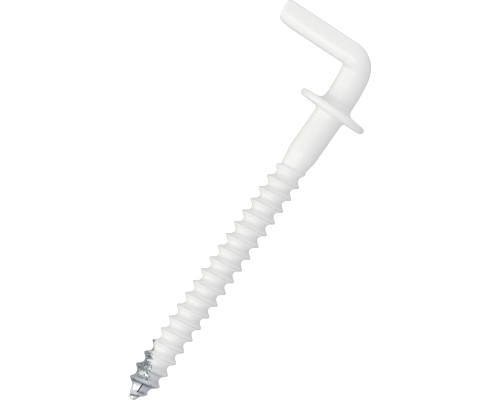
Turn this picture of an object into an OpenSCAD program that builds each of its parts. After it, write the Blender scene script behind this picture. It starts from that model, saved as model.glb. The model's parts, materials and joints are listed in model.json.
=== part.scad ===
// Coated screw hook for a wall plug: one forged and bent wire with a collar, a square-bent
// arm and a coarse wood-screw thread. It lies on a level surface, where it touches with the
// rim of its collar, the last full crest of its thread and the end of its arm.

/* [Shank] */
// Diameter of the round wire in the shank and the stem
wire_d = 7.9; // [7:0.1:9]
// Length of the smooth shank, from the collar to the neck
shank_len = 12.6; // [6:0.2:30]
// Length of the neck, where the shank narrows towards the thread
neck_len = 3.8; // [2:0.2:8]
// Diameter of the neck's lower end, where it steps down to the thread's core
neck_d = 6.4; // [6.2:0.1:7]

/* [Collar] */
// Diameter of the collar
collar_d = 19; // [15:0.5:26]
// Thickness of the collar at its round rim
collar_t = 1.9; // [1.2:0.1:3]
// Rise of the collar's upper face from its rim to the stem
collar_rise = 0.3; // [0.1:0.1:0.8]
// Radius of the fillet between the collar and the stem
stem_fillet = 1.4; // [0.5:0.1:2]
// Radius of the fillet between the collar and the shank
shank_fillet = 0.4; // [0.2:0.1:1]

/* [Thread] */
// Outer diameter of the thread
thread_d = 8.7; // [8:0.1:10]
// Diameter of the thread's core
core_d = 5.8; // [5:0.1:6.1]
// Distance between neighbouring crests
pitch = 3.6; // [2.8:0.1:4.5]
// Length of the threaded part, from the neck to the tip
thread_len = 70.6; // [40:0.2:100]
// Length over which the thread rises to its full height below the shank
run_out = 11; // [6:0.5:14]
// Length of the tapered point
point_len = 7; // [5:0.5:12]
// Diameter of the point's blunt end
point_d = 1.5; // [0.8:0.1:2.5]
// Angle around the axis at which the thread starts, from the side away from the arm
thread_start = 143; // [0:1:359]

/* [Stem and bend] */
// Gap between the collar and the underside of the arm
throat = 10.5; // [8:0.5:20]
// Inside radius of the bend
bend_r = 0.6; // [0.4:0.1:3]
// Distance that the stem leans towards the arm below the bend
stem_lean = 0.7; // [0.2:0.1:1.5]

/* [Arm] */
// Distance from the screw's axis to the end of the arm
arm_reach = 24.8; // [18:0.2:40]
// Width of the arm
arm_w = 11.4; // [9:0.2:14]
// Thickness of the arm
arm_t = 6.2; // [5:0.1:7.5]
// Squareness of the arm's section across its width, where 2 is an ellipse
arm_square = 10; // [5:0.5:14]
// Height at which the arm is widest, as a share of its thickness
arm_belly = 0.35; // [0.25:0.05:0.6]
// Angle by which the arm slopes down to its end
arm_droop = 1.5; // [0:0.5:6]
// Rounding of the edges at the arm's end
end_round = 0.75; // [0.3:0.05:1.2]
// Height of the slanted cut under the arm's end
end_cut = 0.7; // [0.2:0.05:1]
// Length of the slanted cut under the arm's end
end_cut_len = 3.2; // [1.5:0.1:4]

/* [Groove] */
// Distance from the middle of the arm to the groove's steep lip
steep_lip = 2.7; // [2:0.1:3.5]
// Distance from the middle of the arm to the groove's sloping lip
slope_lip = 3.2; // [2.6:0.1:4]
// Distance from the middle of the arm to the groove's deepest line
crease_at = 1.75; // [1:0.05:2.2]
// Depth of the groove's flat floor
floor_depth = 0.35; // [0.2:0.05:0.7]
// Depth of the groove's deepest line
crease_depth = 0.8; // [0.7:0.05:1.5]
// Distance from the middle to the sloping lip at the arm's end
end_lip = 2.5; // [1.5:0.1:3.2]
// Distance from the middle to the deepest line at the arm's end
end_crease = 0.8; // [0.6:0.05:1.2]
// Depth of the flat floor at the arm's end
end_floor = 0.5; // [0.3:0.05:0.8]
// Length over which the groove changes towards the arm's end
groove_ramp = 5; // [2:0.5:10]
// Place on the bend where the groove ends in a tip, as an angle from the stem
groove_from = 18; // [10:1:40]
// Place on the bend where the groove is full, as an angle from the stem
groove_full = 60; // [50:1:80]

/* [Tab] */
// Length by which a small tab stands out from the end of the groove's floor
tab_len = 1.3; // [0.6:0.1:2.5]
// Width of the tab
tab_w = 1.8; // [1:0.1:2.6]
// Thickness of the tab
tab_t = 0.4; // [0.3:0.05:0.8]

/* [Hidden] */

wire_r = wire_d / 2;
neck_r = neck_d / 2;
collar_r = collar_d / 2;
rim_r = collar_t / 2;
thread_r = thread_d / 2;
core_r = core_d / 2;
point_r = point_d / 2;
overlap = 1.2;                  // how far one length of the wire reaches into the next
step_len = 0.5;                 // length of the step from the neck down to the core
step_depth = 0.2;               // how far the step ends inside the core
foot_len = 0.2;                 // length of the stem that is turned above its fillet
seam = 0.03;                    // by how much the bent length is slimmer where it leaves the turned one
$fn = 96;                       // facets of the turned surfaces and of their fillets

// Heights along the screw's axis, from the collar's seat
neck_z = -shank_len;
thread_z = neck_z - neck_len;
tip_z = thread_z - thread_len;
collar_top = collar_t + collar_rise;
stem_z = collar_top + stem_fillet + foot_len;

// Thread surface: a ribbon as wide as the pitch, wound up the core
turn_steps = 24;                // steps in a turn
rows = 6;                       // points across the ribbon
end_turn = 0.08;                // rise of the closing turn at either end, as a share of the pitch
head_flank = 3.4;               // steepness of the flank that faces the collar
tip_flank = 3.9;                // steepness of the flank that faces the tip
ridge_from = 1 / 7;             // where the ridge starts in the point, as a share of the point's length
ridge_full = 5 / 7;             // where in the point the ridge has its full height
top_step = ceil(turn_steps * ((neck_z + overlap - tip_z) / pitch + 1 - end_turn));
top_turn = top_step / turn_steps;

// Stem, bend and arm: the centre of the bend, and lengths along the wire
bend_x = -stem_lean - wire_r - bend_r;
bend_z = collar_t + throat - bend_r;
stem_h = bend_z - stem_z;
arm_angle = 90 + arm_droop;
arm_len = (arm_reach + bend_x) / cos(arm_droop);
side_points = 32;               // points around a section, from lip to lip of the groove
least_lip = 0.25;               // half width of the groove's mouth where there is no groove
step_run = 0.2;                 // how far the floor starts inside the steep lip
floor_end = 0.5;                // distance from the middle to the floor's other side
press_power = 1.5;              // how slowly the section grows square around the bend
widen_angle = 45;               // place on the bend where the wire has the arm's full width
tab_hidden = 1;                 // length of the tab inside the arm
tab_sunk = 0.03;                // depth of the tab's top below the groove's floor
tab_shift = 0.35;               // distance of the tab's middle from the arm's
arm_start = 0.5;                // where the arm's first section stands past the bend
stem_steps = 8;                 // sections along the stem
bend_steps = 18;                // sections around the bend
arm_steps = 6;                  // sections along the arm
end_steps = 4;                  // sections over the rounded end

// Resting pose: the slope of the axis, then the roll that brings the arm's end down
rest_span = rim_r - tip_z - point_len;
rest_slope = asin((collar_r - thread_r) / rest_span);
side_reach = arm_reach - end_round;
side_z = bend_z + bend_r + arm_belly * arm_t - arm_len * sin(arm_droop);
side_drop = collar_r + (side_z - rim_r) * tan(rest_slope);
rest_roll = asin(side_drop / norm([side_reach, arm_w / 2])) - atan(arm_w / 2 / side_reach);

function clamp(x) = min(1, max(0, x));
function mix(a, b, share) = a + (b - a) * share;
function ease(x) = sin(90 * clamp(x));
function power(x, exponent) = sign(x) * pow(abs(x), exponent);

// Height above the tip after a number of turns, with a nearly level turn to close either end
function climb(turn) =
    pitch * (end_turn * (min(turn, 1) + max(0, turn - top_turn))
             + max(0, min(turn, top_turn) - 1));

// Radius of the core, which rounds off to the blunt tip
function core_at(h) = mix(point_r, core_r, ease(h / point_len));

// Height of the ridge above the core: it fades out in the point and in the neck
function ridge_at(h) =
    let(rise = clamp((h / point_len - ridge_from) / (ridge_full - ridge_from)),
        fade = ease((neck_z - tip_z - h) / run_out))
    (thread_r - core_r) * rise * fade;

// Shape of the ridge across the ribbon: 1 on the crest, 0 in the root
function ridge_shape(share) = pow(abs(cos(180 * share)), share < 0.5 ? head_flank : tip_flank);

function ribbon_point(step, row) =
    let(h = climb(step / turn_steps + row / rows),
        r = core_at(h) + ridge_at(h) * ridge_shape(row / rows),
        a = thread_start + 360 * step / turn_steps)
    [r * cos(a), r * sin(a), tip_z + h];

// Number of a ribbon's point in the list: its last row is the first row one turn further on
function ribbon_index(step, row) =
    row == rows ? ribbon_index(step + turn_steps, 0)
    : step <= top_step ? step * rows + row
    : top_step * (rows - 1) + rows + step - 1;

module threaded_core() {
    points = [
        for (step = [0:top_step], row = [0:rows - 1]) ribbon_point(step, row),
        for (step = [top_step + 1:top_step + turn_steps]) ribbon_point(step, 0),
        [0, 0, tip_z],
        [0, 0, tip_z + climb(top_turn + 1)]
    ];
    bottom = len(points) - 2;
    top = len(points) - 1;
    faces = [
        for (step = [0:top_step - 1], row = [0:rows - 1]) [
            ribbon_index(step, row), ribbon_index(step, row + 1),
            ribbon_index(step + 1, row + 1), ribbon_index(step + 1, row)],
        for (step = [0:turn_steps - 1])
            [bottom, ribbon_index(step, 0), ribbon_index(step + 1, 0)],
        for (row = [0:rows - 1])
            [bottom, ribbon_index(0, row + 1), ribbon_index(0, row)],
        for (step = [top_step:top_step + turn_steps - 1])
            [top, ribbon_index(step + 1, 0), ribbon_index(step, 0)],
        for (row = [0:rows - 1])
            [top, ribbon_index(top_step, row), ribbon_index(top_step, row + 1)]
    ];
    polyhedron(points, faces);
}

// Outline of a section, as [distance from the bend's centre, distance across]. The sides are
// rounded as an ellipse, and the top and underside are flattened by the share pressed
function section(pressed, half_w, thickness, inset, cut, lips, crease, depths) =
    let(roundness = 2 / mix(2, arm_square, pressed),
        low = bend_r + inset + cut,
        high = bend_r + thickness - inset,
        middle = mix(low, high, mix(0.5, arm_belly, pressed)),
        from = acos(pow(lips[0] / half_w, 1 / roundness)),
        to = -180 - acos(pow(lips[1] / half_w, 1 / roundness)),
        narrowing = lips[0] / steep_lip)
    [
        for (i = [0:side_points])
            let(a = mix(from, to, i / side_points),
                up = sin(a))
            [middle + up * (up > 0 ? high - middle : middle - low),
             half_w * power(cos(a), roundness)],
        [high - depths[1], -crease],
        [high - depths[0], -floor_end * narrowing],
        [high - depths[0], (steep_lip - step_run) * narrowing]
    ];

// A section set in place: turned by an angle around the bend's centre, then moved along the wire
function placed(outline, angle, run, shift) = [
    for (p = outline) [
        bend_x + shift + p[0] * cos(angle) - run * sin(angle),
        p[1],
        bend_z + p[0] * sin(angle) + run * cos(angle)
    ]
];

function stem_section(q) =
    placed(section(0, wire_r - seam, wire_d - seam, seam / 2, 0, [least_lip, least_lip],
                   least_lip / 2, [seam, seam]),
           0, (q - 1) * stem_h, stem_lean * (1 - pow(max(0, q), 2)));

function bend_section(angle) =
    let(open = clamp((angle - groove_from) / (groove_full - groove_from)),
        sunk = ease(2 * open),
        lips = [max(least_lip, steep_lip * open), max(least_lip, slope_lip * open)])
    placed(section(pow(angle / 90, press_power), mix(wire_r - seam, arm_w / 2, ease(angle / widen_angle)),
                   mix(wire_d, arm_t, angle / 90), 0, 0, lips, lips[1] * crease_at / slope_lip,
                   [max(seam, floor_depth * sunk), max(seam, crease_depth * sunk)]),
           angle, 0, 0);

function arm_section(run, inset) =
    let(cut = end_cut * clamp(1 - (arm_len - end_round - run) / (end_cut_len - end_round)),
        spent = clamp(1 - (arm_len - run) / groove_ramp))
    placed(section(1, arm_w / 2 - inset, arm_t, inset, cut, [steep_lip, mix(slope_lip, end_lip, spent)],
                   mix(crease_at, end_crease, spent),
                   [mix(floor_depth, end_floor, spent), mix(crease_depth, end_floor, spent)]),
           arm_angle, run, 0);

module bent_wire() {
    arm_straight = arm_len - end_cut_len;
    rings = [
        stem_section(-overlap / stem_h),
        for (i = [0:stem_steps - 1]) stem_section(i / stem_steps),
        for (i = [0:bend_steps]) bend_section(90 * i / bend_steps),
        for (i = [0:arm_steps]) arm_section(mix(arm_start, arm_straight, i / arm_steps), 0),
        for (i = [0:end_steps])
            arm_section(arm_len - end_round * (1 - sin(90 * i / end_steps)),
                        end_round * (1 - cos(90 * i / end_steps)))
    ];
    count = len(rings[0]);
    last = len(rings) - 1;
    foot = (last + 1) * count;
    end = foot + 1;
    points = [
        for (ring = rings) each ring,
        rings[0][0] / 2 + rings[0][side_points / 2] / 2,
        rings[last][0] / 2 + rings[last][side_points / 2] / 2
    ];
    faces = [
        for (i = [0:count - 1])
            let(next = (i + 1) % count)
            each [
                [foot, i, next],
                [end, last * count + next, last * count + i],
                for (k = [0:last - 1])
                    [k * count + i, (k + 1) * count + i, (k + 1) * count + next, k * count + next]
            ]
    ];
    polyhedron(points, faces);
}

// Tab at the end of the groove's floor
module tab() {
    top = bend_r + arm_t - end_floor - tab_sunk;
    translate([bend_x, 0, bend_z])
    rotate([0, 90 - arm_angle, 0])
    translate([-arm_len - tab_len, tab_shift - tab_w / 2, top - tab_t])
    cube([tab_len + tab_hidden, tab_w, tab_t]);
}

// Half outline of the turned length: shank, neck, collar and the foot of the stem
module turned_outline() {
    difference() {
        union() {
            polygon([
                [0, stem_z], [wire_r, stem_z], [wire_r, neck_z], [neck_r, thread_z],
                [core_r - step_depth, thread_z - step_len], [0, thread_z - step_len]
            ]);
            square([collar_r - rim_r, collar_t]);
            translate([collar_r - rim_r, rim_r]) circle(d = collar_t);
            polygon([
                [0, rim_r], [collar_r - rim_r, collar_t],
                [wire_r + stem_fillet, collar_top], [0, collar_top]
            ]);
            translate([0, collar_top]) square([wire_r + stem_fillet, stem_fillet]);
            translate([0, -shank_fillet]) square([wire_r + shank_fillet, shank_fillet]);
        }
        translate([wire_r + stem_fillet, collar_top + stem_fillet]) circle(stem_fillet);
        translate([wire_r + shank_fillet, -shank_fillet]) circle(shank_fillet);
    }
}

module turned_wire() {
    rotate_extrude() turned_outline();
}

module screw_hook() {
    color("whitesmoke")
    rotate([rest_slope - 90, 0, 0])
    rotate([0, 0, -rest_roll]) {
        turned_wire();
        threaded_core();
        bent_wire();
        tab();
    }
}

screw_hook();
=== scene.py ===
import json
import math

import bmesh
import bpy
from mathutils import Matrix, Vector


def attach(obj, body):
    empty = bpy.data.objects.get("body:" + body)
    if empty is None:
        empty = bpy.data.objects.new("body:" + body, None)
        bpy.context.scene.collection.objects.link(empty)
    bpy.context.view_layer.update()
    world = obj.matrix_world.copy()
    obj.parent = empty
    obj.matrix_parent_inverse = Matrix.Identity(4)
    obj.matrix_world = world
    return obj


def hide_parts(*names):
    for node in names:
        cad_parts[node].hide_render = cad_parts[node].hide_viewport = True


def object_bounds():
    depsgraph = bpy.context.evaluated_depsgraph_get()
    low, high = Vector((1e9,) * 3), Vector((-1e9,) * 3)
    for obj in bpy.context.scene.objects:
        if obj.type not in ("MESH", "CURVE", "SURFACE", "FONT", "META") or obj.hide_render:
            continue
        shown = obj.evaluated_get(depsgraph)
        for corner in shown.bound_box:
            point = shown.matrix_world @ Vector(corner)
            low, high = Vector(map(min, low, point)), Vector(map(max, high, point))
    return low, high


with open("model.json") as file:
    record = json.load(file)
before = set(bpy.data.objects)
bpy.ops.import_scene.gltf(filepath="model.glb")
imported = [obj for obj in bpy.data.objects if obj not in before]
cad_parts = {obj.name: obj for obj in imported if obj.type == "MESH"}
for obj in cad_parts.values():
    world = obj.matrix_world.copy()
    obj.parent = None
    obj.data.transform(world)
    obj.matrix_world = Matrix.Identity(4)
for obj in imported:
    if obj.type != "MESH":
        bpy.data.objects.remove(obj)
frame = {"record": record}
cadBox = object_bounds()
bpy.ops.object.select_all(action="DESELECT")  # the frame's nodes come in selected

# The hook is modelled upright in millimetres: the screw's axis is Z, the arm points to -X and
# the collar's seat is at height 0. It is laid down at the end, the way the mounts point.
mm = 0.001
mounts = {mount["name"]: Vector(mount["axis"]).normalized() for mount in frame["record"]["mounts"]}
towardsHook = -mounts["collar_seat"]
awayFromArm = -mounts["hook_throat"]
acrossArm = towardsHook.cross(awayFromArm)
layDown = Matrix((awayFromArm, acrossArm, towardsHook)).transposed().to_4x4()
print("frame loaded, longest side", round(max(cadBox[1] - cadBox[0]), 4))


def mix(low, high, share):
    return low + (high - low) * share


def clamp(value):
    return max(0.0, min(1.0, value))


def ease(share):
    return math.sin(math.pi / 2 * clamp(share))


def power(value, exponent):
    return math.copysign(abs(value) ** exponent, value)


def rising(value, low, high):
    return clamp((value - low) / (high - low))


def swollen(radius, step):
    # radius of the ring that a Subdivision Surface modifier rounds down to the radius asked for,
    # where each point goes to four parts of its own place and one of each neighbour's
    return radius * 6 / (4 + 2 * math.cos(step))


# The shank, collar, stem, bend and arm are one ring of points, extruded again and again.
wire = {
    "diameter": 7.9,
    "shankLength": 12.6,
    "neckLength": 3.8,
    "neckDiameter": 6.8,
    "neckCurve": 2.0,
    "footDiameter": 5.5,  # of the neck's hidden end, inside the thread's core
    "footDepth": 1.5,
    "footRings": (1, 0.65, 0.3),  # places of the rings, as shares of each length
    "neckRings": (0, 0.2, 0.45, 0.7, 0.92),
    "shankRings": (0.96, 0.85, 0.6, 0.35, 0.12),
    "ringPoints": 42,
    "groovePoints": 6,  # of them, on the groove's floor
    "outlineSamples": 300,
    "smoothing": 2,
    "sharpAngle": math.radians(50),  # edges that turn more than this stay sharp
}
collar = {
    "diameter": 19.0,
    "thickness": 1.9,
    "rise": 0.3,
    "stemFillet": 1.4,
    "stemFilletTurns": (0, 30, 60, 85),
    "shankFillet": 0.9,
    "shankFilletTurns": (15, 50, 85),
    "seatRings": (0.4, 0.68),
    "topRings": (0.3, 0.65),
    "rimSteps": 6,
}
arm = {
    "throat": 10.5,
    "bendRadius": 0.6,
    "stemLean": 0.7,
    "reach": 24.8,
    "width": 11.4,
    "thickness": 6.2,
    "squareness": 10.0,  # of the section across the arm; its sides are rounded as an ellipse
    "widenTurn": math.radians(45),  # by here in the bend the wire is pressed to its full width
    "pressCurve": 1.5,  # how late in the bend its sides are pressed flat
    "belly": 0.45,  # height of the widest line, as a share of the thickness
    "droop": math.radians(1.5),
    "endRound": 0.8,
    "endCut": 0.5,  # height of the slanted cut under the end
    "endCutLength": 3.2,
    "crown": 0.066,  # how fast the end face falls away from its foremost line
    "crownHeight": 3.85,  # of that line above the arm's underside
    "crownRise": 0.18,  # of that line past the arm's length
    "crownLength": 1.6,
    "stemSteps": 7,
    "bendSteps": 14,
    "firstRing": 0.5,  # its distance past the bend
    "armSteps": 6,
    "endSteps": 3,
    "capSizes": (0.8, 0.55, 0.5),  # of each ring on the end face, from the one before
}
groove = {  # widths from the arm's middle to either side, in full and at the arm's end
    "lips": (2.7, 3.2),
    "floor": (2.5, 0.5),
    "crease": 1.75,
    "floorDepth": 0.35,
    "creaseDepth": 0.8,
    "endLips": (2.7, 2.5),
    "endCrease": 0.8,
    "endFloorDepth": 0.5,
    "endCreaseDepth": 0.6,
    "ramp": 5.0,
    "tipLip": 0.3,
    "startTurn": math.radians(18),
    "fullTurn": math.radians(60),
    "sinkRate": 2,  # it is at its full depth before it is at its full width
    "lipFoot": (0.2, 0.1),  # shares of the way, in height and across, to the points between
    "slopeFoot": (0.7, 0.5),
    "floorMiddle": 0.8,
}
tab = {  # a sliver left at the end of the groove's floor
    "length": 1.3,
    "hidden": 1.0,
    "width": 1.8,
    "thickness": 0.25,
    "height": 5.56,  # of its middle above the arm's underside
    "across": 0.35,  # of its middle from the arm's
    "edge": 0.12,
    "edgeSteps": 2,
}
wireRadius = wire["diameter"] / 2
bendX = -arm["stemLean"] - wireRadius - arm["bendRadius"]
bendZ = collar["thickness"] + arm["throat"] - arm["bendRadius"]
armLength = (arm["reach"] + bendX) / math.cos(arm["droop"])
ringStep = 2 * math.pi / wire["ringPoints"]
lipTurn = ringStep * (wire["groovePoints"] + 1) / 2


def turnedStations():
    # heights and radii from the neck's hidden foot up to the stem
    neckTop, neckFoot = -wire["shankLength"], -wire["shankLength"] - wire["neckLength"]
    neckRadius, footRadius = wire["neckDiameter"] / 2, wire["footDiameter"] / 2
    collarRadius, rim = collar["diameter"] / 2, collar["thickness"] / 2
    collarTop = collar["thickness"] + collar["rise"]
    stations = [(neckFoot - wire["footDepth"] * part, mix(neckRadius, footRadius, math.sqrt(part)))
                for part in wire["footRings"]]
    stations += [(mix(neckFoot, neckTop, part), mix(neckRadius, wireRadius, part ** wire["neckCurve"]))
                 for part in wire["neckRings"]]
    stations += [(neckTop * part, wireRadius) for part in wire["shankRings"]]
    for turn in map(math.radians, collar["shankFilletTurns"]):
        fillet = collar["shankFillet"]
        stations.append((-fillet * (1 - math.sin(turn)), wireRadius + fillet * (1 - math.cos(turn))))
    stations += [(0, mix(wireRadius, collarRadius, part)) for part in collar["seatRings"]]
    rimStep = math.pi / collar["rimSteps"]
    for index in range(collar["rimSteps"] + 1):
        turn = rimStep * index - math.pi / 2
        height = rim + swollen(rim, rimStep) * math.sin(turn)
        stations.append((height, collarRadius - rim + swollen(rim, rimStep) * math.cos(turn)))
    for part in collar["topRings"]:
        stations.append((mix(collar["thickness"], collarTop, part),
                         mix(collarRadius - rim, wireRadius + collar["stemFillet"], part)))
    for turn in map(math.radians, collar["stemFilletTurns"]):
        fillet = collar["stemFillet"]
        stations.append((collarTop + fillet * (1 - math.cos(turn)),
                         wireRadius + fillet * (1 - math.sin(turn))))
    return [(height, swollen(radius, ringStep)) for height, radius in stations]


def spread(curve, count):
    # picks points on a finely sampled curve, closer together where it turns
    fine = [Vector(curve(index / wire["outlineSamples"])) for index in range(wire["outlineSamples"] + 1)]
    lengths = [(after - before).length for before, after in zip(fine, fine[1:])]
    turns = [0.0] + [(middle - before).angle(after - middle) for before, middle, after
                     in zip(fine, fine[1:], fine[2:])]
    allLength, allTurn = sum(lengths), sum(turns)
    weights = [length / allLength + turn / allTurn for length, turn in zip(lengths, turns)]
    picked, passed, total = [fine[0]], 0.0, sum(weights)
    for weight, point in zip(weights, fine[1:]):
        passed += weight
        if passed >= total * len(picked) / (count - 1) and len(picked) < count - 1:
            picked.append(point)
    return [list(point) for point in picked + [fine[-1]]]


def section(share, thickness, inset=0.0, cut=0.0, opened=0.0, spent=0.0, wide=None):
    # outline of the wire, as distances from the bend's centre and across: it runs from one lip
    # of the groove round the back to the other, then over the groove's floor. The share is 0
    # where the wire is round and 1 where it is pressed flat, and wide is the same for its width
    # alone. Opened is how far the groove has opened on the bend, and spent how far it has changed
    # towards the arm's end
    halfWidth = mix(wireRadius, arm["width"] / 2, share if wide is None else wide) - inset
    roundness = 2 / mix(2, arm["squareness"], share)
    low = arm["bendRadius"] + inset + cut
    high = arm["bendRadius"] + thickness - inset
    middle = mix(low, high, mix(0.5, arm["belly"], share))
    lips = [max(groove["tipLip"], clamp(opened) * mix(full, end, spent))
            for full, end in zip(groove["lips"], groove["endLips"])]

    def skin(turn):
        up = math.sin(turn)
        return [middle + up * (high - middle if up > 0 else middle - low),
                halfWidth * power(math.cos(turn), roundness)]

    def turnAt(across):
        return math.acos((across / halfWidth) ** (1 / roundness))

    first, last = turnAt(lips[0]), -math.pi - turnAt(lips[1])
    outline = spread(lambda part: skin(mix(first, last, part)), wire["ringPoints"] - wire["groovePoints"])
    if opened > 0:
        narrow = lips[0] / groove["lips"][0], lips[1] / mix(groove["lips"][1], groove["endLips"][1], spent)
        floorEnds = -groove["floor"][1] * narrow[1], groove["floor"][0] * narrow[0]
        creaseAt = -mix(groove["crease"], groove["endCrease"], spent) * narrow[1]
        sunk = ease(groove["sinkRate"] * opened)
        floorAt = high - sunk * mix(groove["floorDepth"], groove["endFloorDepth"], spent)
        deepAt = high - sunk * mix(groove["creaseDepth"], groove["endCreaseDepth"], spent)
        (lipUp, lipAcross), (slopeUp, slopeAcross) = groove["lipFoot"], groove["slopeFoot"]
        outline += [[mix(deepAt, outline[-1][0], lipUp), mix(creaseAt, -lips[1], lipAcross)],
                    [deepAt, creaseAt],
                    [mix(deepAt, floorAt, slopeUp), mix(creaseAt, floorEnds[0], slopeAcross)],
                    [floorAt, floorEnds[0]],
                    [floorAt, mix(floorEnds[0], floorEnds[1], groove["floorMiddle"])],
                    [floorAt, floorEnds[1]]]
    else:
        floorSteps = wire["groovePoints"] + 1
        outline += [skin(mix(last, first - 2 * math.pi, index / floorSteps))
                    for index in range(1, floorSteps)]
    return outline


def placed(outline, turn, run=0.0, shift=0.0):
    # turns an outline about the bend's centre and moves it along the wire
    return [(bendX + shift + reach * math.cos(turn) - run * math.sin(turn), across,
             bendZ + reach * math.sin(turn) + run * math.cos(turn)) for reach, across in outline]


def bentRings(stemFoot):
    # the rings of the stem, of the bend and of the arm up to its end
    rings = []
    stemHeight = bendZ - stemFoot
    for index in range(1, arm["stemSteps"] + 1):
        part = index / arm["stemSteps"]
        rings.append(placed(section(0, wire["diameter"]), 0, (part - 1) * stemHeight,
                            arm["stemLean"] * (1 - part ** 2)))
    for index in range(1, arm["bendSteps"] + 1):
        turn = math.pi / 2 * index / arm["bendSteps"]
        opened = (turn - groove["startTurn"]) / (groove["fullTurn"] - groove["startTurn"])
        thickness = mix(wire["diameter"], arm["thickness"], turn / (math.pi / 2))
        pressed = (turn / (math.pi / 2)) ** arm["pressCurve"]
        widened = ease(turn / arm["widenTurn"])
        rings.append(placed(section(pressed, thickness, opened=opened, wide=widened), turn))
    armTurn = math.pi / 2 + arm["droop"]
    straight = armLength - arm["endCutLength"]
    runs = [(mix(arm["firstRing"], straight, index / arm["armSteps"]), 0)
            for index in range(arm["armSteps"] + 1)]
    for index in range(arm["endSteps"] + 1):
        turn = math.pi / 2 * index / arm["endSteps"]
        runs.append((armLength - arm["endRound"] * (1 - math.sin(turn)),
                     arm["endRound"] * (1 - math.cos(turn))))
    for run, inset in runs:
        cut = arm["endCut"] * rising(run, straight, armLength - arm["endRound"])
        spent = rising(run, armLength - groove["ramp"], armLength)
        rings.append(placed(section(1, arm["thickness"], inset, cut, 1, spent), armTurn, run))
    return rings


def crownEnd(mesh):
    # the end face bulges a little, so its rings are moved back along the arm, most at the underside
    turn = math.pi / 2 + arm["droop"]
    upwards = Vector((math.cos(turn), 0, math.sin(turn)))
    onwards = Vector((-math.sin(turn), 0, math.cos(turn)))
    for vert in mesh.verts:
        offset = vert.co - Vector((bendX, 0, bendZ))
        share = rising(offset.dot(onwards), armLength - arm["crownLength"], armLength)
        fromLine = offset.dot(upwards) - arm["bendRadius"] - arm["crownHeight"]
        vert.co -= onwards * share * (arm["crown"] * fromLine ** 2 - arm["crownRise"])


def makeWire():
    stations = turnedStations()
    height, radius = stations[0]
    bpy.ops.mesh.primitive_circle_add(vertices=wire["ringPoints"], radius=radius, fill_type="TRIFAN",
                                      location=(0, 0, height), rotation=(0, 0, lipTurn - math.pi / 2))
    bpy.ops.object.transform_apply(location=True, rotation=True, scale=True)
    piece = bpy.context.object
    bpy.ops.object.mode_set(mode="EDIT")
    mesh = bmesh.from_edit_mesh(piece.data)
    bpy.ops.mesh.select_all(action="DESELECT")
    for edge in mesh.edges:
        edge.select = edge.is_boundary
    mesh.select_flush(True)
    for nextHeight, nextRadius in stations[1:]:
        bpy.ops.mesh.extrude_edges_move(TRANSFORM_OT_translate={"value": (0, 0, nextHeight - height)})
        bpy.ops.transform.resize(value=(nextRadius / radius, nextRadius / radius, 1),
                                 center_override=(0, 0, nextHeight))
        height, radius = nextHeight, nextRadius
    print("  shank and collar extruded,", len(stations), "rings")
    rings = bentRings(height)
    for ring in rings:
        bpy.ops.mesh.extrude_edges_move()
        mesh = bmesh.from_edit_mesh(piece.data)
        for vert, place in zip([vert for vert in mesh.verts if vert.select], ring):
            vert.co = place
        bmesh.update_edit_mesh(piece.data)
    print("  stem, bend and arm extruded,", len(rings), "rings")
    centre = sum((Vector(place) for place in rings[-1]), Vector()) / len(rings[-1])
    for size in arm["capSizes"]:
        bpy.ops.mesh.extrude_edges_move()
        bpy.ops.transform.resize(value=(size, size, size), center_override=centre)
    bpy.ops.mesh.merge(type="CENTER")
    mesh = bmesh.from_edit_mesh(piece.data)
    crownEnd(mesh)
    bmesh.update_edit_mesh(piece.data)
    bpy.ops.mesh.select_all(action="SELECT")
    bpy.ops.mesh.normals_make_consistent(inside=False)
    bpy.ops.object.mode_set(mode="OBJECT")
    smooth = piece.modifiers.new("smooth", "SUBSURF")
    smooth.levels = smooth.render_levels = wire["smoothing"]
    bpy.ops.object.modifier_apply(modifier=smooth.name)
    piece.name = "bentWire"
    return piece


def makeTab():
    run = armLength + (tab["length"] - tab["hidden"]) / 2
    place, = placed([[arm["bendRadius"] + tab["height"], tab["across"]]], math.pi / 2 + arm["droop"], run)
    bpy.ops.object.select_all(action="DESELECT")
    bpy.ops.mesh.primitive_cube_add(size=1, location=place, rotation=(0, -arm["droop"], 0),
                                    scale=(tab["length"] + tab["hidden"], tab["width"], tab["thickness"]))
    bpy.ops.object.transform_apply(location=True, rotation=True, scale=True)
    piece = bpy.context.object
    bpy.ops.object.mode_set(mode="EDIT")
    bpy.ops.mesh.select_all(action="SELECT")
    bpy.ops.mesh.bevel(offset=tab["edge"], segments=tab["edgeSteps"])
    bpy.ops.object.mode_set(mode="OBJECT")
    piece.name = "tab"
    return piece


# The thread is one pitch of its outline, wound up the screw.
thread = {
    "diameter": 8.92,
    "coreDiameter": 5.94,
    "pitch": 3.6,
    "length": 70.9,
    "crestRise": 2.76,  # from the tip to the first crest on the side away from the arm
    "headFlank": 3.0,
    "tipFlank": 3.2,
    "crestEdge": 0.8,  # below 1 it sharpens the crest
    "pointLength": 7.3,
    "pointDiameter": 1.5,
    "pointCurve": 1.12,
    "pointRound": 0.35,
    "ridgeFrom": 0.7,  # heights above the tip
    "ridgeFull": 5.3,
    "ledgeHeight": 4.3,  # below it the crest turns into a flat-topped ledge
    "ledgeBlend": 1.2,
    "ledgeEdge": (0.42, 0.58),  # shares of the ridge that become the ledge's foot and top
    "runOut": 11.0,
    "wornCrest": 0.2,  # lost from the crests where the coat is worn off the tip
    "wornHeight": (17.5, 35.0),
    "rootInShank": 1.2,
    "outlineCuts": 15,
    "turnSteps": 64,
    "turnsBelow": 2,  # wound below the first crest, and cut off
    "turnsMore": 3,  # wound in all, beyond those in the thread's length
    "seam": 0.002,  # points nearer than this are one point
    "cutMargin": 0.0001,
}
threadRadius, coreRadius = thread["diameter"] / 2, thread["coreDiameter"] / 2
neckZ = -wire["shankLength"]
tipZ = neckZ - wire["neckLength"] - thread["length"]


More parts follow.
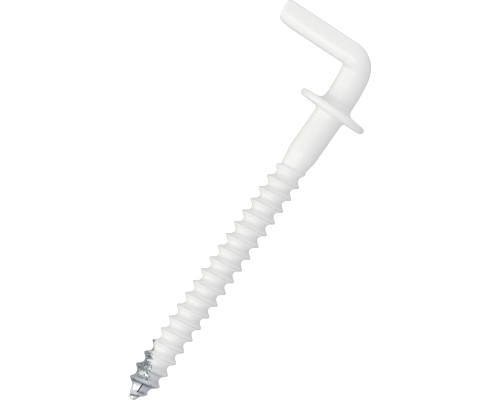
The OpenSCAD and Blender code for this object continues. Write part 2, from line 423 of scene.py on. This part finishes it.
def ridgeShape(share):
    # height of the ridge over one pitch, from a crest past the root to the next crest
    flank = abs(math.cos(math.pi * share)) ** (thread["headFlank"] if share < 0.5 else thread["tipFlank"])
    return 1 - (1 - flank) ** thread["crestEdge"]


def threadRadiusAt(height, ridge):
    # the core rounds off towards the blunt point, and the ridge fades out in the point and neck
    taper = ease(clamp(height / thread["pointLength"]) ** thread["pointCurve"])
    core = mix(thread["pointDiameter"] / 2, coreRadius, taper)
    blunt = thread["pointRound"]
    core -= blunt * (1 - math.sqrt(1 - (1 - clamp(height / blunt)) ** 2))
    rise = rising(height, thread["ridgeFrom"], thread["ridgeFull"])
    fade = ease((neckZ - tipZ - height) / thread["runOut"])
    crest = threadRadius - thread["wornCrest"] * (1 - ease(rising(height, *thread["wornHeight"])))
    ledge = rising(ridge, *thread["ledgeEdge"])
    ridge = mix(ridge, ledge, clamp((thread["ledgeHeight"] - height) / thread["ledgeBlend"]))
    return core + (crest - coreRadius) * rise * fade * ridge


def makeThread():
    pitch = thread["pitch"]
    foot = tipZ + thread["crestRise"] - thread["turnsBelow"] * pitch
    bpy.ops.mesh.primitive_plane_add(size=pitch, location=(coreRadius, 0, foot + pitch / 2),
                                     rotation=(math.pi / 2, 0, 0))
    bpy.ops.object.transform_apply(location=True, rotation=True, scale=True)
    piece = bpy.context.object
    bpy.ops.object.mode_set(mode="EDIT")
    mesh = bmesh.from_edit_mesh(piece.data)
    bpy.ops.mesh.select_all(action="DESELECT")
    for vert in mesh.verts:
        vert.select = vert.co.x > coreRadius
    mesh.select_flush(True)
    bpy.ops.mesh.delete(type="VERT")
    bpy.ops.mesh.select_all(action="SELECT")
    bpy.ops.mesh.subdivide(number_cuts=thread["outlineCuts"])
    mesh = bmesh.from_edit_mesh(piece.data)
    for vert in mesh.verts:
        vert.co.x = mix(coreRadius, threadRadius, ridgeShape((vert.co.z - foot) / pitch))
    bpy.ops.object.mode_set(mode="OBJECT")

    screw = piece.modifiers.new("wind", "SCREW")
    screw.axis = "Z"
    screw.screw_offset = pitch
    screw.iterations = math.ceil((thread["length"] + wire["neckLength"]) / pitch) + thread["turnsMore"]
    screw.steps = screw.render_steps = thread["turnSteps"]
    bpy.ops.object.modifier_apply(modifier=screw.name)
    print("  thread wound,", len(piece.data.polygons), "faces")

    bpy.ops.object.mode_set(mode="EDIT")
    bpy.ops.mesh.select_all(action="SELECT")
    bpy.ops.mesh.remove_doubles(threshold=thread["seam"])  # each turn joins the one before
    for height, side in ((tipZ, -1), (neckZ + thread["rootInShank"], 1)):
        bpy.ops.mesh.select_all(action="SELECT")
        bpy.ops.mesh.bisect(plane_co=(0, 0, height), plane_no=(0, 0, side), use_fill=True,
                            clear_outer=True, threshold=thread["cutMargin"])
    bpy.ops.mesh.select_all(action="SELECT")
    bpy.ops.mesh.normals_make_consistent(inside=False)
    bpy.ops.object.mode_set(mode="OBJECT")
    for vert in piece.data.vertices:
        radius = math.hypot(vert.co.x, vert.co.y)
        ridge = (radius - coreRadius) / (threadRadius - coreRadius)
        scale = threadRadiusAt(vert.co.z - tipZ, ridge) / radius
        vert.co.x *= scale
        vert.co.y *= scale
    piece.name = "thread"
    return piece


def joined(piece, other):
    union = piece.modifiers.new("join", "BOOLEAN")
    union.operation = "UNION"
    union.solver = "EXACT"
    union.object = other
    bpy.context.view_layer.objects.active = piece
    bpy.ops.object.modifier_apply(modifier=union.name)
    bpy.data.objects.remove(other)
    return piece


print("making the bent wire")
bentWire = makeWire()
print("making the thread")
threadPiece = makeThread()
screwHook = joined(joined(bentWire, threadPiece), makeTab())
screwHook.name = "coatedHook"
screwHook.matrix_world = layDown @ Matrix.Scale(mm, 4)
bpy.ops.object.select_all(action="DESELECT")
screwHook.select_set(True)
bpy.context.view_layer.objects.active = screwHook
bpy.ops.object.transform_apply(location=True, rotation=True, scale=True)
bpy.ops.object.shade_smooth_by_angle(angle=wire["sharpAngle"])
print("hook joined and laid down,", len(screwHook.data.polygons), "faces")


# The finish is a glossy white coat over bare zinc. Its lengths are in millimetres, and a side is
# a distance from the screw's axis, away from the arm.
coat = {
    "white": (0.88, 0.88, 0.88, 1),
    "thin": (0.66, 0.67, 0.72, 1),  # where little coat is left
    "thinHeight": (6.5, 12.5),  # above the tip
    "roughness": 0.2,
    "thickness": 0.12,
    "dent": 0.05,
    "dentSize": 2.6,
    "crestLineShade": (0.62, 0.62, 0.63, 1),  # painted shade along the crest lines of the thread
    "crestWidth": (0.02, 0.32),  # from the crest, where the painted shade is full and where it ends
    "crestShow": (0.3, 0.75),
    "crestChips": (0.3, 0.6),
    "crestEnd": 4.0,  # length over which the painted shade ends at the neck
    "shadeAndMottle": (0.34, 0.36, 0.39, 1),  # painted shade under the last crests, also the colour of the thin coat's mottling
    "crookHeight": (8.5, 12.0),
    "crook": (-0.28, -0.18, -0.1, -0.07),  # shares of the pitch below the crest, where the shade is painted
    "crookShow": 0.65,
    "mottle": 0.22,
    "mottleFacets": (0.4, 0.6),
}
wear = {  # the coat is gone below a slanting line, and all round the point
    "start": 15.3,
    "slant": 0.477,
    "side": -3.6,
    "pointHeight": 5.9,
    "pointSlope": 3.0,
    "patch": 3.2,
    "patchSize": 1.6,
    "chip": 2.4,
    "chipSize": 0.45,
    "edge": (-0.08, 0.08),  # depths at which the coat ends and the zinc is bare
}
zinc = {
    "light": (0.92, 0.96, 0.97, 1),
    "middle": (0.7, 0.755, 0.775, 1),  # above the point
    "middleHeight": (4.4, 5.2),
    "sideShade": (0.46, 0.52, 0.545, 1),  # painted shade: darker zinc towards the arm's side
    "sideShadeSide": (-2.4, -1.5),
    "sideShadeCloud": 3.2,
    "sideShadeShow": 0.9,
    "bluishReflection": (0.58, 0.61, 0.67, 1),  # painted reflection of a dim bluish surround, on the side away from the arm
    "bluishReflectionSide": (0.1, 0.9),
    # painted highlights: white glints in clouds on the bare zinc
    "paintedGlint": (1.0, 1.0, 1.0, 1),
    "paintedGlintCloud": (0.02, 0.12),
    "paintedGlintShow": 0.35,
    "dark": (0.05, 0.055, 0.06, 1),  # of scratches, of painted shade under the crests and of a painted dark reflection down the point
    "roughness": 0.25,
    "facet": 0.1,
    "facetSize": 1.2,
    "cloudSize": 0.7,
    "markScale": (1.8, 1.8, 5.0),  # scratches run round the screw
    "mark": (0.54, 0.57),
    "markHeight": (5.0, 6.5),
    "crookShade": 0.7,
    "crookShadeLess": 0.5,  # less painted shade on the arm's side, above the point
    "crookShadeSide": (-1.6, -0.3),
    "crookShadeHeight": (6.5, 7.5),
    "darkReflectionSide": 0.2,  # a painted dark reflection down the front of the point
    "darkReflectionWidth": (0.1, 0.26),
    "darkReflectionHeight": (2.2, 2.5, 4.9, 5.3),
    "darkReflectionFront": (-0.3, 0.0),
}


class Tree:
    # the nodes of a material or the world; every node is added by the one method
    def __init__(self, owner):
        self.owner = owner
        owner.use_nodes = True
        self.nodes = owner.node_tree.nodes
        self.links = owner.node_tree.links
        self.nodes.clear()

    def add(self, kind, settings=None, sockets=None, output=0):
        node = self.nodes.new(kind)
        for name, value in (settings or {}).items():
            setattr(node, name, value)
        for name, value in (sockets or {}).items():
            if isinstance(value, Signal):
                self.links.new(value.socket, node.inputs[name])
            else:
                node.inputs[name].default_value = value
        return Signal(self, node.outputs[output]) if node.outputs else node

    def maths(self, operation, *values):
        return self.add("ShaderNodeMath", {"operation": operation}, dict(enumerate(values)))

    def noise(self, place, size=1.0):
        return self.add("ShaderNodeTexNoise", sockets={"Vector": place, "Scale": 1 / size})

    def blend(self, first, second, share):
        # the colours are the node's sockets 6 and 7, and its output 2
        return self.add("ShaderNodeMix", {"data_type": "RGBA"}, {0: share, 6: first, 7: second}, output=2)


class Signal:
    # wraps a socket, so that shader sums are written as sums
    def __init__(self, tree, socket):
        self.tree = tree
        self.socket = socket

    def __add__(self, other):
        return self.tree.maths("ADD", self, other)

    def __sub__(self, other):
        return self.tree.maths("SUBTRACT", self, other)

    def __rsub__(self, other):
        return self.tree.maths("SUBTRACT", other, self)

    def __mul__(self, other):
        return self.tree.maths("MULTIPLY", self, other)

    def __truediv__(self, other):
        return self.tree.maths("DIVIDE", self, other)

    __radd__ = __add__
    __rmul__ = __mul__

    def __abs__(self):
        return self.tree.maths("ABSOLUTE", self)

    def most(self, other):
        return self.tree.maths("MAXIMUM", self, other)

    def along(self, axis):
        return self.tree.add("ShaderNodeVectorMath", {"operation": "DOT_PRODUCT"},
                             {0: self, 1: axis}, output=1)

    def rise(self, low, high):
        # 0 up to the low value, 1 from the high one, smooth between
        return self.tree.add("ShaderNodeMapRange", {"interpolation_type": "SMOOTHSTEP"},
                             {"Value": self, "From Min": low, "From Max": high})

    def between(self, low, lowFull, highFull, high):
        return self.rise(low, lowFull) * (1 - self.rise(highFull, high))


def makeCoat():
    tree = Tree(bpy.data.materials.new("whiteCoat"))
    upright = layDown.to_3x3().transposed().to_euler()
    place = tree.add("ShaderNodeMapping", sockets={
        "Vector": tree.add("ShaderNodeTexCoord", output=3), "Rotation": upright, "Scale": (1 / mm,) * 3})
    side, front, height = place.along((1, 0, 0)), place.along((0, 1, 0)), place.along((0, 0, 1)) - tipZ
    turn = tree.maths("ARCTAN2", front, side) / (2 * math.pi)
    turns = (height - thread["crestRise"]) / thread["pitch"] - turn
    above = tree.maths("FRACT", turns + 0.5) - 0.5  # the nearest crest, as a share of the pitch
    fromCrest = abs(above) * thread["pitch"]
    onThread = 1 - height.rise(thread["length"] - coat["crestEnd"], thread["length"])

    patches = tree.noise(place, wear["patchSize"])
    chips = tree.noise(place, wear["chipSize"])
    slanting = (wear["start"] - height) * wear["slant"] + wear["side"] - side
    atPoint = (wear["pointHeight"] - height) * wear["pointSlope"]
    depth = slanting.most(atPoint) + (patches - 0.5) * wear["patch"] + (chips - 0.5) * wear["chip"]
    bare = depth.rise(*wear["edge"])

    # painted shade: a dark band under each crest near the tip, on the coat and on the bare zinc
    crook = above.between(*coat["crook"]) * (1 - height.rise(*coat["crookHeight"]))
    stretched = tree.add("ShaderNodeMapping", sockets={"Vector": place, "Scale": zinc["markScale"]})
    marks = tree.noise(stretched)
    facets = tree.noise(place, zinc["facetSize"])
    clouds = tree.noise(place, zinc["cloudSize"]) - 0.5
    # painted shade on the bare zinc's limb towards the arm's side, its edge wobbled by the clouds
    sideShade = 1 - (side + clouds * zinc["sideShadeCloud"]).rise(*zinc["sideShadeSide"])
    metal = tree.blend(zinc["light"], zinc["middle"], height.rise(*zinc["middleHeight"]))
    metal = tree.blend(metal, zinc["sideShade"], sideShade * zinc["sideShadeShow"])
    # painted reflection: bluish zinc on the side away from the arm
    metal = tree.blend(metal, zinc["bluishReflection"], side.rise(*zinc["bluishReflectionSide"]))
    # painted highlights: white glints scattered over the bare zinc
    metal = tree.blend(metal, zinc["paintedGlint"], clouds.rise(*zinc["paintedGlintCloud"]) * zinc["paintedGlintShow"])
    # painted reflection: a dark streak down the front of the bare point
    inDarkReflection = 1 - abs(side - zinc["darkReflectionSide"]).rise(*zinc["darkReflectionWidth"])
    seam = inDarkReflection * height.between(*zinc["darkReflectionHeight"]) * (1 - front.rise(*zinc["darkReflectionFront"]))
    scratched = marks.rise(*zinc["mark"]) * height.rise(*zinc["markHeight"])
    # less of the painted shade on the arm's side, above the point
    lessShaded = (1 - side.rise(*zinc["crookShadeSide"])) * height.rise(*zinc["crookShadeHeight"])
    shadedCrook = crook * (zinc["crookShade"] - zinc["crookShadeLess"] * lessShaded)
    metal = tree.blend(metal, zinc["dark"], scratched.most(seam).most(shadedCrook))

    thinned = 1 - height.rise(*coat["thinHeight"])
    # painted shade: the crest lines are darkened, by a share that the chips' noise varies
    crest = (1 - fromCrest.rise(*coat["crestWidth"])) * onThread
    paintedCrestShade = crest * mix(*coat["crestShow"], chips.rise(*coat["crestChips"]))
    mottled = facets.rise(*coat["mottleFacets"]) * thinned * coat["mottle"]
    white = tree.blend(coat["white"], coat["thin"], thinned)
    white = tree.blend(white, coat["crestLineShade"], paintedCrestShade)
    # painted shade under the crests, and the thin coat's mottling
    white = tree.blend(white, coat["shadeAndMottle"], (crook * coat["crookShow"]).most(mottled))
    colour = tree.blend(white, metal, bare)

    dents = tree.noise(place, coat["dentSize"]) * coat["dent"]
    relief = (1 - bare) * (coat["thickness"] + dents) + bare * facets * zinc["facet"]
    bump = tree.add("ShaderNodeBump", sockets={"Height": relief, "Distance": mm})
    shader = tree.add("ShaderNodeBsdfPrincipled", sockets={
        "Base Color": colour, "Metallic": bare, "Normal": bump,
        "Roughness": coat["roughness"] + bare * (zinc["roughness"] - coat["roughness"])})
    tree.add("ShaderNodeOutputMaterial", sockets={"Surface": shader})
    return tree.owner


screwHook.data.materials.clear()
screwHook.data.materials.append(makeCoat())
print("coat made")

stage = {  # in metres, apart from the aim, which is in millimetres from the collar's seat
    "floorSize": 4.0,
    "floorColour": (0.93, 0.93, 0.93, 1),
    "floorRoughness": 0.9,
    "floorGlow": 0.5,
    "glowColour": (1.0, 1.0, 1.0, 1),
    "cameraDistance": 1.33,
    "cameraReach": 20.0,
    "cameraLens": 381.0,
    "aimAlong": -29.17,
    "aimAcross": -4.21,
    "tilt": math.radians(55.07),
    "worldColour": (0.985, 0.985, 1.0, 1),
    "worldStrength": 0.7,
    "lowStrength": 0.63,  # from below
    "horizon": (-0.25, 0.0),  # between these the low strength gives way to the full one
}
softBoxes = {  # each direction is to the camera's right, up and towards it
    "lowLeftBox": {"direction": (-0.61, -0.24, 1.0), "distance": 1.1, "size": 1.0, "power": 3.05,
                   "colour": (1.0, 0.98, 0.89)},
    "leftBox": {"direction": (-0.94, 0.23, 0.25), "distance": 1.1, "size": 1.0, "power": 3.0,
                "colour": (0.96, 1.0, 0.78)},
    "topBox": {"direction": (0.57, 0.82, 0.15), "distance": 1.1, "size": 0.8, "power": 2.4,
               "colour": (1.0, 0.99, 0.92)},
    "frontBox": {"direction": (-0.1, -0.14, 1.0), "distance": 1.1, "size": 0.25, "power": 0.48,
                 "colour": (1.0, 1.0, 1.0)},
}
towardsCamera = -acrossArm
viewRight = math.cos(stage["tilt"]) * towardsHook + math.sin(stage["tilt"]) * awayFromArm
viewUp = math.sin(stage["tilt"]) * towardsHook - math.cos(stage["tilt"]) * awayFromArm


def makeFloor():
    bpy.ops.mesh.primitive_plane_add(size=stage["floorSize"], location=(0, 0, cadBox[0].z))
    bpy.ops.object.transform_apply(location=True, rotation=True, scale=True)
    floor = bpy.context.object
    floor.name = "floor"
    tree = Tree(bpy.data.materials.new("paleFloor"))
    shader = tree.add("ShaderNodeBsdfPrincipled", sockets={
        "Base Color": stage["floorColour"], "Roughness": stage["floorRoughness"],
        "Specular IOR Level": 0.0, "Emission Color": stage["glowColour"],
        "Emission Strength": stage["floorGlow"]})
    tree.add("ShaderNodeOutputMaterial", sockets={"Surface": shader})
    floor.data.materials.append(tree.owner)
    floor.visible_diffuse = floor.visible_glossy = False  # it throws no light back on the hook


def makeCamera():
    data = bpy.data.cameras.new("camera")
    camera = bpy.data.objects.new("camera", data)
    bpy.context.scene.collection.objects.link(camera)
    aim = (towardsHook * stage["aimAlong"] + awayFromArm * stage["aimAcross"]) * mm
    camera.matrix_world = (Matrix.Translation(aim + towardsCamera * stage["cameraDistance"])
                           @ Matrix((viewRight, viewUp, towardsCamera)).transposed().to_4x4())
    data.lens = stage["cameraLens"]
    data.clip_end = stage["cameraReach"]
    bpy.context.scene.camera = camera


def makeLight(name, plan):
    data = bpy.data.lights.new(name, "AREA")
    data.size = plan["size"]
    data.energy = plan["power"]
    data.color = plan["colour"]
    light = bpy.data.objects.new(name, data)
    bpy.context.scene.collection.objects.link(light)
    right, up, towards = plan["direction"]
    direction = (right * viewRight + up * viewUp + towards * towardsCamera).normalized()
    light.location = direction * plan["distance"]
    light.rotation_mode = "QUATERNION"
    light.rotation_quaternion = direction.to_track_quat("Z", "Y")
    light.visible_camera = False


def makeWorld():
    tree = Tree(bpy.data.worlds.new("studio"))
    above = tree.add("ShaderNodeTexCoord").along(towardsCamera).rise(*stage["horizon"])
    background = tree.add("ShaderNodeBackground", sockets={
        "Color": stage["worldColour"],
        "Strength": stage["lowStrength"] + above * (stage["worldStrength"] - stage["lowStrength"])})
    tree.add("ShaderNodeOutputWorld", sockets={"Surface": background})
    bpy.context.scene.world = tree.owner
    view = bpy.context.scene.view_settings
    view.view_transform = "Standard"
    view.look = "None"


makeFloor()
makeCamera()
for name, plan in softBoxes.items():
    makeLight(name, plan)
makeWorld()
print("stage set")

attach(screwHook, "root")
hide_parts("screw_hook")
